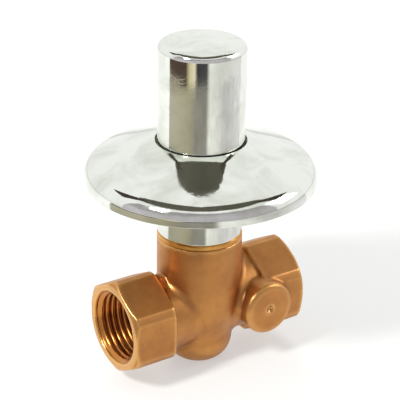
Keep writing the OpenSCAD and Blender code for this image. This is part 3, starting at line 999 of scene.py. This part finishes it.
    def settle(self, data: bpy.types.Mesh) -> None:
        """Moves a fine mesh onto the form and stores where it is machined, where edge highlights are painted
        and where corner shade is painted.

        Args:
            data: the mesh, changed in place.
        """
        count = len(data.vertices)
        flat = np.zeros(count * 3)
        data.vertices.foreach_get("co", flat)
        p = flat.reshape(-1, 3) / MM - np.array([self.stem_x / MM, 0, 0])
        pairs = np.zeros(len(data.edges) * 2, int)
        data.edges.foreach_get("vertices", pairs)
        pairs = pairs.reshape(-1, 2)
        links = np.bincount(pairs.ravel(), minlength=count)[:, None]
        for turn in range(self.rounds):
            for _ in range(3):
                (gap, way), _machined = self.field(p)
                p = p - way * np.clip(gap, -0.5, 0.5)[:, None]
            if turn < self.rounds - 1:
                p = p + 0.35 * (self.around(p, pairs, links) - p)
        (gap, way), machined = self.field(p)
        bend = ((p - self.around(p, pairs, links)) * way).sum(1)
        for _ in range(4):
            bend = bend * 0.5 + self.around(bend[:, None], pairs, links)[:, 0] * 0.5
        ripple = self.unevenness(p) * np.clip(machined - 0.2, 0, 1)
        lowest = p[:, 2] < -self.bottom_depth + 0.4
        p = p - way * np.where(lowest, 0.0, ripple)[:, None]
        flat = ((p + np.array([self.stem_x / MM, 0, 0])) * MM).ravel()
        data.vertices.foreach_set("co", flat)
        cut_and_painted_light = np.ones((count, 4))
        # Machined faces, then painted highlight on convex edges and painted shade in concave corners.
        cut_and_painted_light[:, 0] = np.clip(1 - machined / 0.25, 0, 1)
        # Painted highlight: how sharp a convex edge each point lies on.
        cut_and_painted_light[:, 1] = np.clip(bend / 0.03, 0, 1)
        # Painted shade: how deep in a concave corner each point lies.
        cut_and_painted_light[:, 2] = np.clip(-bend / 0.02, 0, 1)
        layer = data.attributes.new("cut_and_painted_light", "FLOAT_COLOR", "POINT")
        layer.data.foreach_set("color", cut_and_painted_light.ravel())
        data.update()

    @staticmethod
    def around(values: np.ndarray, pairs: np.ndarray, links: np.ndarray) -> np.ndarray:
        """The mean of each point's neighbours.

        Args:
            values: one row a point.
            pairs: the edges' two points.
            links: how many edges meet at each point.

        Returns:
            The means, one row a point.
        """
        total = np.zeros_like(values)
        for column in range(values.shape[1]):
            total[:, column] += np.bincount(pairs[:, 0], values[pairs[:, 1], column], len(values))
            total[:, column] += np.bincount(pairs[:, 1], values[pairs[:, 0], column], len(values))
        return total / np.maximum(links, 1)

    @staticmethod
    def unevenness(p: np.ndarray) -> np.ndarray:
        """The slight waves of a forged skin, always inwards.

        Args:
            p: places in millimetres about the valve's own axis.

        Returns:
            How deep each place lies, in millimetres.
        """
        waves = (
            np.sin(p[:, 0] * 0.71 + p[:, 1] * 0.43 + 0.4)
            + np.sin(p[:, 1] * 0.93 - p[:, 2] * 0.57 + 1.9)
            + np.sin(p[:, 2] * 0.83 + p[:, 0] * 0.37 + 3.1)
        )
        return 0.02 * (waves / 3 + 1)


@dataclass
class PortThread:
    """The female pipe thread of one port, as a ring that sits in the body's socket."""

    end: End
    stem_x: float
    reach: float = 28.5
    depth: float = 13.0
    pitch: float = 1.814
    major: float = 20.955
    minor: float = 18.63
    wall_r: float = 10.9
    lead: float = 1.4
    set_back: float = 0.28
    play: float = 0.1
    steps: int = 72

    def build(self, material: bpy.types.Material) -> bpy.types.Object:
        """Spins one turn's profile along the port, trims both ends and closes the ring.

        Args:
            material: the finish of the thread.

        Returns:
            The thread's piece.
        """
        mesh = bmesh.new()
        top, root = self.major / 2, self.minor / 2
        outline = ((0.0, root), (0.1, root), (0.3, root + 0.25), (0.7, top - 0.2), (0.82, top - 0.03),
                   (0.96, top - 0.03), (1.08, top - 0.2), (1.5, root + 0.25), (1.7, root), (self.pitch, root))
        inner = self.reach - self.depth - self.play
        start = inner - self.pitch
        points = [mesh.verts.new((x + start, 0, r)) for x, r in outline]
        edges = [mesh.edges.new(pair) for pair in zip(points, points[1:])]
        turns = math.ceil(self.depth / self.pitch) + 2
        bmesh.ops.spin(
            mesh,
            geom=points + edges,
            cent=(0, 0, 0),
            axis=(1, 0, 0),
            dvec=(self.pitch / self.steps, 0, 0),
            angle=2 * math.pi * turns,
            steps=self.steps * turns,
        )
        bmesh.ops.remove_doubles(mesh, verts=mesh.verts, dist=1e-4)
        outer = self.reach - self.set_back
        for place, side in ((inner, -1), (outer, 1)):
            bmesh.ops.bisect_plane(
                mesh,
                geom=mesh.verts[:] + mesh.edges[:] + mesh.faces[:],
                plane_co=(place, 0, 0),
                plane_no=(side, 0, 0),
                clear_outer=True,
            )
        for vert in mesh.verts:
            mouth = self.minor / 2 + self.lead - (self.reach - vert.co.x)
            radius = math.hypot(vert.co.y, vert.co.z)
            if radius < mouth:
                vert.co.yz = vert.co.yz * (mouth / radius)
        rims = []
        for place in (inner, outer):
            open_edges = [e for e in mesh.edges if e.is_boundary]
            rim = [e for e in open_edges if all(abs(v.co.x - place) < 1e-4 for v in e.verts)]
            grown = bmesh.ops.extrude_edge_only(mesh, edges=rim)["geom"]
            for vert in (g for g in grown if isinstance(g, bmesh.types.BMVert)):
                vert.co.yz = vert.co.yz * (self.wall_r / math.hypot(vert.co.y, vert.co.z))
            rims += [g for g in grown if isinstance(g, bmesh.types.BMEdge)]
        bmesh.ops.bridge_loops(mesh, edges=rims)
        bmesh.ops.remove_doubles(mesh, verts=mesh.verts, dist=1e-5)
        if self.end is End.INLET:
            bmesh.ops.rotate(mesh, verts=mesh.verts, cent=(0, 0, 0), matrix=Matrix.Rotation(math.pi, 3, "Z"))
        bmesh.ops.translate(mesh, verts=mesh.verts, vec=(self.stem_x / MM, 0, 0))
        bmesh.ops.scale(mesh, verts=mesh.verts, vec=(MM, MM, MM))
        bmesh.ops.recalc_face_normals(mesh, faces=mesh.faces)
        name = f"thread_{self.end.name.lower()}"
        return Piece.finish(mesh, name, material, "valve", "forged_brass")


@dataclass
class Cap:
    """The closed chromed cap over the headwork."""

    centre: Vector
    low: float
    high: float
    radius: float
    wall: float = 1.3
    roof: float = 2.0
    top_round: float = 1.9

    def build(self, material: bpy.types.Material) -> bpy.types.Object:
        """Spins the cap's section.

        Args:
            material: the chrome.

        Returns:
            The cap's piece.
        """
        inner = self.radius - self.wall
        corners = (
            (0.0, self.high, 0.0),
            (self.radius * 0.5, self.high, 0.0),
            (self.radius, self.high, self.top_round),
            (self.radius, self.low + 10, 0.0),
            (self.radius, self.low, 0.3),
            (inner, self.low, 0.15),
            (inner, self.high - self.roof, 1.0),
            (0.0, self.high - self.roof, 0.0),
        )
        mesh = turned(rounded_outline(corners, 10), self.centre)
        return Piece.finish(mesh, "cap_shell", material, "cap", "chromed_brass", ("cap",))


@dataclass
class WallFlange:
    """The chromed conical flange: hole edge, shallow cone, rounding and turned-down rim."""

    centre: Vector
    low: float
    high: float
    radius: float
    hole: float
    sheet: float = 1.0
    rim: float = 1.2
    bend: float = 4.6

    def build(self, material: bpy.types.Material) -> bpy.types.Object:
        """Spins the flange's section.

        Args:
            material: the chrome.

        Returns:
            The flange's piece.
        """
        run, fall = self.radius - self.hole - self.bend, self.high - self.low - self.rim
        angle = math.atan2(fall, run) - math.asin(self.bend / math.hypot(run, fall))
        knee_r, knee_z = self.radius - self.bend, self.low + self.rim

        def profile(inset: float, steps: int) -> list[tuple[float, float]]:
            """The sheet's surface from hole to rim.

            Args:
                inset: how far it lies inside the outer surface.
                steps: spans of the rounding.

            Returns:
                The surface's points.
            """
            bend = self.bend - inset
            points = [(self.hole, self.high - inset / math.cos(angle))]
            join_r = knee_r + bend * math.sin(angle)
            join_z = knee_z + bend * math.cos(angle)
            for k in range(1, 6):
                share = k / 6
                r = self.hole + (join_r - self.hole) * share
                points.append((r, points[0][1] + (join_z - points[0][1]) * share))
            for k in range(steps + 1):
                sweep = (math.pi / 2 - angle) * (1 - k / steps)
                points.append((knee_r + bend * math.cos(sweep), knee_z + bend * math.sin(sweep)))
            points.append((self.radius - inset, self.low))
            return points

        outside, inside = profile(0.0, 14), profile(self.sheet, 10)
        mesh = turned(outside + inside[::-1], self.centre, 256)
        lip = [e for e in mesh.edges if len(e.link_faces) == 2 and e.calc_face_angle(0.0) > 1.0]
        bmesh.ops.bevel(
            mesh, geom=lip, offset=0.18 * MM, affect="EDGES", segments=3, profile=0.5, material=-1
        )
        bmesh.ops.recalc_face_normals(mesh, faces=mesh.faces)
        return Piece.finish(mesh, "flange_shell", material, "flange", "chromed_brass", ("flange",))


class Valve:
    """The whole valve: its finishes, its new pieces and its CAD nodes."""

    def __init__(self, frame: dict) -> None:
        """Reads the places of the parts from the frame.
        """
        self.nodes = frame["nodes"]
        low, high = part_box("flange")
        self.stem_x = (low.x + high.x) / 2
        self.centre = Vector((self.stem_x, 0, 0))
        effects = Effects.build()
        self.forged = ForgedBrass("forged_brass", effects, self.stem_x).build()
        self.turned = TurnedBrass("turned_brass", effects, self.stem_x).build()
        warm, shaded = rgba(214, 150, 78), rgba(176, 112, 56)
        self.bored = TurnedBrass(
            "cut_thread_brass", effects, self.stem_x, Axis.PORTS, warm, shaded
        ).build()
        self.chrome = ChromePlate("chrome_plate", effects, self.stem_x).build()
        self.rubber = Rubber("black_rubber", effects, self.stem_x).build()
        self.steel = SpringSteel("spring_steel", effects, self.stem_x).build()
        self.plastic = MouldedPlastic("white_plastic", effects, self.stem_x).build()

    def build(self) -> None:
        """Builds the new pieces and dresses the nodes that stay."""
        ForgedBody(self.stem_x).build(self.nodes["valve_body"], self.forged)
        for end in End:
            PortThread(end, self.stem_x).build(self.bored)
        low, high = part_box("cap")
        Cap(self.centre, low.z / MM, high.z / MM, (high.x - low.x) / 2 / MM).build(self.chrome)
        low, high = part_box("flange")
        hole = (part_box("cap")[1].x - self.stem_x) / MM + 0.6
        radius = (high.x - low.x) / 2 / MM - 0.002
        WallFlange(self.centre, low.z / MM, high.z / MM, radius, hole).build(self.chrome)
        finishes = {
            self.turned: ("bonnet", "stem", "spacer_washer", "disc_carrier", "washer_plate", "washer_screw"),
            self.rubber: ("bonnet_gasket", "stem_upper_o_ring", "stem_lower_o_ring", "seat_washer",
                          "cap_lower_o_ring", "cap_upper_o_ring", "flange_grip_ring"),
            self.steel: ("snap_ring",),
            self.plastic: ("thrust_washer", "grip_ring_holder"),
            self.forged: ("valve_body",),
            self.chrome: ("cap", "flange"),
        }
        for material, names in finishes.items():
            for name in names:
                self.dress(name, material)

    def dress(self, name: str, material: bpy.types.Material) -> None:
        """Gives a CAD node its finish.

        Args:
            name: the node's name.
            material: the finish for all its slots.
        """
        data = self.nodes[name].data
        if not data.materials:
            data.materials.append(material)
        for slot in range(len(data.materials)):
            data.materials[slot] = material
        LOG.info("%s: dressed in %s", name, material.name)


# The studio


@dataclass
class Studio:
    """Pale floor, soft lamps, cards that the chrome reflects, and the camera."""

    stem_x: float
    floor_z: float
    azimuth: float = -34.0
    elevation: float = 25.45
    roll: float = 0.94
    distance: float = 0.4
    focal_pixels: float = 1430.3
    target_z: float = 0.0323
    ground_edge: float = 0.3
    card_lift: float = 0.0004
    ceiling_height: float = 0.52
    # Painted floor shade, seen only in reflections: darkest towards the camera, where its shadow falls, with
    # brighter bands to its right.
    ground_tones: tuple = (
        (-88.0, 160, 154, 140),
        (-30.0, 142, 135, 114),
        (-14.0, 122, 118, 112),
        (12.0, 132, 128, 124),
        (20.0, 226, 226, 222),
        (42.0, 214, 212, 210),
        (60.0, 190, 186, 190),
        (112.0, 226, 224, 228),
    )
    edge_tones: tuple = (
        (-88.0, 66, 48, 38),
        (-40.0, 52, 38, 32),
        (-30.0, 178, 166, 130),
        (-18.0, 200, 190, 170),
        (-12.0, 40, 38, 40),
        (12.0, 60, 58, 60),
        (20.0, 226, 226, 222),
        (40.0, 214, 212, 210),
    )

    def build(self) -> None:
        """Builds it all."""
        self.floor()
        self.sky()
        self.lamps()
        self.cards()
        self.camera()
        bpy.context.scene.view_settings.view_transform = "Standard"
        LOG.info("studio: floor, lamps, cards and camera")

    def direction(self, azimuth: float, elevation: float) -> Vector:
        """The way from the valve to a place in the studio.

        Args:
            azimuth: its angle round the stem in degrees, from -Y towards +X.
            elevation: its angle above the ground.

        Returns:
            The way, of length 1.
        """
        a, e = math.radians(azimuth), math.radians(elevation)
        return Vector((math.sin(a) * math.cos(e), -math.cos(a) * math.cos(e), math.sin(e)))

    def plane(
        self, name: str, width: float, height: float, place: Matrix, material: bpy.types.Material
    ) -> None:
        """Adds a flat stage piece.

        Args:
            name: its name.
            width: its width in metres.
            height: its height in metres.
            place: where it goes.
            material: its finish.
        """
        mesh = bmesh.new()
        bmesh.ops.create_grid(mesh, x_segments=2, y_segments=2, size=0.5)
        bmesh.ops.scale(mesh, verts=mesh.verts, vec=(width, height, 1))
        bmesh.ops.transform(mesh, verts=mesh.verts, matrix=place)
        data = bpy.data.meshes.new(name)
        mesh.to_mesh(data)
        mesh.free()
        data.materials.append(material)
        piece = bpy.data.objects.new(name, data)
        bpy.context.scene.collection.objects.link(piece)
        piece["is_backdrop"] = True

    def floor(self) -> None:
        """A white floor that keeps the valve's shadow and shows white to the camera and in metal."""
        material = bpy.data.materials.new("floor_paper")
        material.use_nodes = True
        wire = Wiring(material.node_tree)
        shader = material.node_tree.nodes["Principled BSDF"]
        shader.inputs["Base Color"].default_value = rgba(242, 242, 240)
        shader.inputs["Roughness"].default_value = 0.9
        white = wire.add("Emission", {"Color": (1.0, 1.0, 1.0, 1.0), "Strength": 1.0})
        path = wire.add("LightPath")
        mirror = wire.math("MAXIMUM", path.outputs["Is Glossy Ray"], path.outputs["Is Transmission Ray"])
        share = wire.math("MULTIPLY", wire.math("MAXIMUM", path.outputs["Is Camera Ray"], mirror), 0.45)
        mix = wire.add("MixShader", {0: share, 1: shader.outputs[0], 2: white.outputs[0]})
        wire.tree.links.new(mix.outputs[0], material.node_tree.nodes["Material Output"].inputs["Surface"])
        place = Matrix.Translation((self.stem_x, 0, self.floor_z))
        self.plane("floor", 6.0, 6.0, place, material)

    def sky(self) -> None:
        """A plain world, white to the camera and in reflections."""
        world = bpy.data.worlds.new("studio_world")
        world.use_nodes = True
        bpy.context.scene.world = world
        wire = Wiring(world.node_tree)
        out = world.node_tree.nodes["World Output"]
        soft = world.node_tree.nodes["Background"]
        soft.inputs["Color"].default_value = rgba(250, 252, 250)
        soft.inputs["Strength"].default_value = 0.6
        seen = wire.add("Background", {"Color": (1.0, 1.0, 1.0, 1.0), "Strength": 1.0})
        path = wire.add("LightPath")
        mirror = wire.math("MAXIMUM", path.outputs["Is Glossy Ray"], path.outputs["Is Transmission Ray"])
        share = wire.math("MAXIMUM", path.outputs["Is Camera Ray"], mirror)
        mix = wire.add("MixShader", {0: share, 1: soft.outputs[0], 2: seen.outputs[0]})
        wire.tree.links.new(mix.outputs[0], out.inputs["Surface"])

    def lamps(self) -> None:
        """Three soft lamps: key from the front left, fill from the right, one from above behind."""
        for name, azimuth, elevation, size, power in (
            ("key_lamp", -80.0, 44.0, 0.14, 5.2),
            ("fill_lamp", 62.0, 34.0, 0.35, 1.3),
            ("back_lamp", 160.0, 38.0, 0.4, 2.0),
        ):
            lamp = bpy.data.lights.new(name, "AREA")
            lamp.shape = "SQUARE"
            lamp.size = size
            lamp.energy = power
            thing = bpy.data.objects.new(name, lamp)
            thing.visible_glossy = name != "back_lamp"
            bpy.context.scene.collection.objects.link(thing)
            way = self.direction(azimuth, elevation)
            aim = Vector((self.stem_x, 0, 0.02))
            thing.location = aim + way * 0.8
            thing.rotation_euler = way.to_track_quat("Z", "Y").to_euler()

    def cards(self) -> None:
        """What the chrome reflects: the ground with its painted shade, the ceiling with two wings, and what
        stands behind.
        """
        ground = bpy.data.materials.new("ground_card")
        ground.use_nodes = True
        wire = Wiring(ground.node_tree)
        shader = ground.node_tree.nodes["Principled BSDF"]
        place = wire.add("TexCoord").outputs["Object"]
        centred = wire.add("Mapping", {"Vector": place, "Location": (-self.stem_x, 0.0, 0.0)}).outputs[0]
        turn = (0.0, 0.0, math.radians(-self.azimuth))
        faced = wire.add("Mapping", {"Vector": centred, "Rotation": turn}).outputs[0]
        parts = wire.add("SeparateXYZ", {"Vector": faced})
        ahead = wire.math("MULTIPLY", parts.outputs[1], -1.0)
        angle = wire.math("ARCTAN2", parts.outputs[0], ahead)
        across = wire.math("MULTIPLY", parts.outputs[0], parts.outputs[0])
        along = wire.math("MULTIPLY", parts.outputs[1], parts.outputs[1])
        reach = wire.math("SQRT", wire.math("ADD", across, along))
        # Painted shade of the floor round the valve, darkest towards the camera.
        tones = self.ramp(wire, wire.span(angle, -math.pi, math.pi), self.ground_tones)
        edges = self.ramp(wire, wire.span(angle, -math.pi, math.pi), self.edge_tones)
        noise = wire.add("TexNoise", {"Vector": place, "Scale": 38.0, "Detail": 3.0})
        wobble = wire.math("MULTIPLY", noise.outputs["Fac"], 0.016)
        # The reach is made ragged by noise, so the bands' edges wobble.
        ragged_reach = wire.math("ADD", reach, wobble)
        far = wire.span(ragged_reach, self.ground_edge, self.ground_edge + 0.004)
        beyond = wire.span(ragged_reach, self.ground_edge + 0.11, self.ground_edge + 0.13)
        # Blotched towards a darker brownish grey by noise.
        blotched = wire.mix(wire.span(noise.outputs["Fac"], 0.4, 0.75, 0.0, 0.35), tones, rgba(150, 145, 128))
        banded = wire.mix(beyond, wire.mix(far, blotched, edges), rgba(186, 182, 186))
        wire.tree.links.new(banded, shader.inputs["Base Color"])
        shader.inputs["Roughness"].default_value = 0.9
        shader.inputs["Specular IOR Level"].default_value = 0.1
        self.sector("ground_card", self.floor_z + self.card_lift, (0.075, 0.82), (-88.0, 114.0), ground)
        ceiling = self.plain("ceiling_card", rgba(98, 94, 86))
        self.sector("ceiling_card", self.floor_z + self.ceiling_height, (0.0, 0.28), (-140.0, 140.0), ceiling)
        wing = self.plain("wing_card", rgba(70, 60, 54))
        self.sector("left_wing", self.floor_z + self.ceiling_height, (0.24, 0.5), (-126.0, -96.0), wing)
        self.sector("right_wing", self.floor_z + self.ceiling_height, (0.24, 0.5), (96.0, 126.0), wing)
        back = self.plain("back_card", rgba(188, 183, 190))
        low = self.floor_z + self.card_lift
        self.sector("back_card", low, (0.8, 0.801), (-75.0, 75.0), back, 0.9)

    @staticmethod
    def ramp(wire: Wiring, value: bpy.types.NodeSocket, stops: Sequence[tuple]) -> bpy.types.NodeSocket:
        """Turns a value into colours.

        Args:
            wire: the material's wiring.
            value: the socket to read, 0 to 1.
            stops: each stop's angle in degrees and its three levels, 0 to 255.

        Returns:
            The colour.
        """
        node = wire.add("ValToRGB", {0: value})
        ramp = node.color_ramp
        while len(ramp.elements) < len(stops):
            ramp.elements.new(0.5)
        for element, (angle, *levels) in zip(ramp.elements, stops):
            element.position = (angle + 180) / 360
            element.color = rgba(*levels)
        return node.outputs[0]

    @staticmethod
    def plain(name: str, colour: tuple) -> bpy.types.Material:
        """A dull card of one colour.

        Args:
            name: the material's name.
            colour: its linear colour.

        Returns:
            The material.
        """
        material = bpy.data.materials.new(name)
        material.use_nodes = True
        shader = material.node_tree.nodes["Principled BSDF"]
        shader.inputs["Base Color"].default_value = colour
        shader.inputs["Roughness"].default_value = 0.9
        shader.inputs["Specular IOR Level"].default_value = 0.1
        return material

    def sector(
        self,
        name: str,
        height: float,
        reach: tuple[float, float],
        angles: tuple[float, float],
        material: bpy.types.Material,
        rise: float = 0.0,
    ) -> None:
        """Adds a card shaped as part of a ring round the stem's axis.

        Args:
            name: its name.
            height: its height in metres.
            reach: its inner and outer radius in metres.
            angles: from where to where it goes, in degrees from the camera's side, rightwards.
            material: its finish.
            rise: how much higher the outer edge stands.
        """
        mesh = bmesh.new()
        ahead = Matrix.Rotation(math.radians(self.azimuth + angles[0]), 3, "Z") @ Vector((0, -1, 0))
        centre = Vector((self.stem_x, 0, height))
        ends = [mesh.verts.new(centre + ahead * r + Vector((0, 0, z))) for r, z in zip(reach, (0.0, rise))]
        edge = mesh.edges.new(ends)
        bmesh.ops.spin(
            mesh,
            geom=ends + [edge],
            cent=centre,
            axis=(0, 0, 1),
            angle=math.radians(angles[1] - angles[0]),
            steps=64,
        )
        bmesh.ops.remove_doubles(mesh, verts=mesh.verts, dist=1e-6)
        data = bpy.data.meshes.new(name)
        mesh.to_mesh(data)
        mesh.free()
        data.materials.append(material)
        card = bpy.data.objects.new(name, data)
        card.visible_camera = False
        card.visible_diffuse = False
        card.visible_shadow = False
        bpy.context.scene.collection.objects.link(card)
        card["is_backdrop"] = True

    def camera(self) -> None:
        """The photograph's camera, fitted to the valve's outlines."""
        data = bpy.data.cameras.new("camera")
        data.sensor_width = 36.0
        data.lens = self.focal_pixels / 400 * data.sensor_width
        data.clip_start = 0.01
        data.clip_end = 20
        camera = bpy.data.objects.new("camera", data)
        bpy.context.scene.collection.objects.link(camera)
        way = self.direction(self.azimuth, self.elevation)
        target = Vector((self.stem_x, 0, self.target_z))
        camera.location = target + way * self.distance
        level = way.to_track_quat("Z", "Y").to_matrix()
        camera.rotation_euler = (level @ Matrix.Rotation(math.radians(self.roll), 3, "Z")).to_euler()
        bpy.context.scene.camera = camera


def main(frame: dict, cad_box: tuple) -> None:
    """Builds the valve and its studio, with the floor just below the bottom of the valve's box.
    """
    valve = Valve(frame)
    valve.build()
    Studio(valve.stem_x, cad_box[0][2] - 0.00001).build()


if __name__ == "__main__":
    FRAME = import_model()
    main(FRAME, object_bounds())
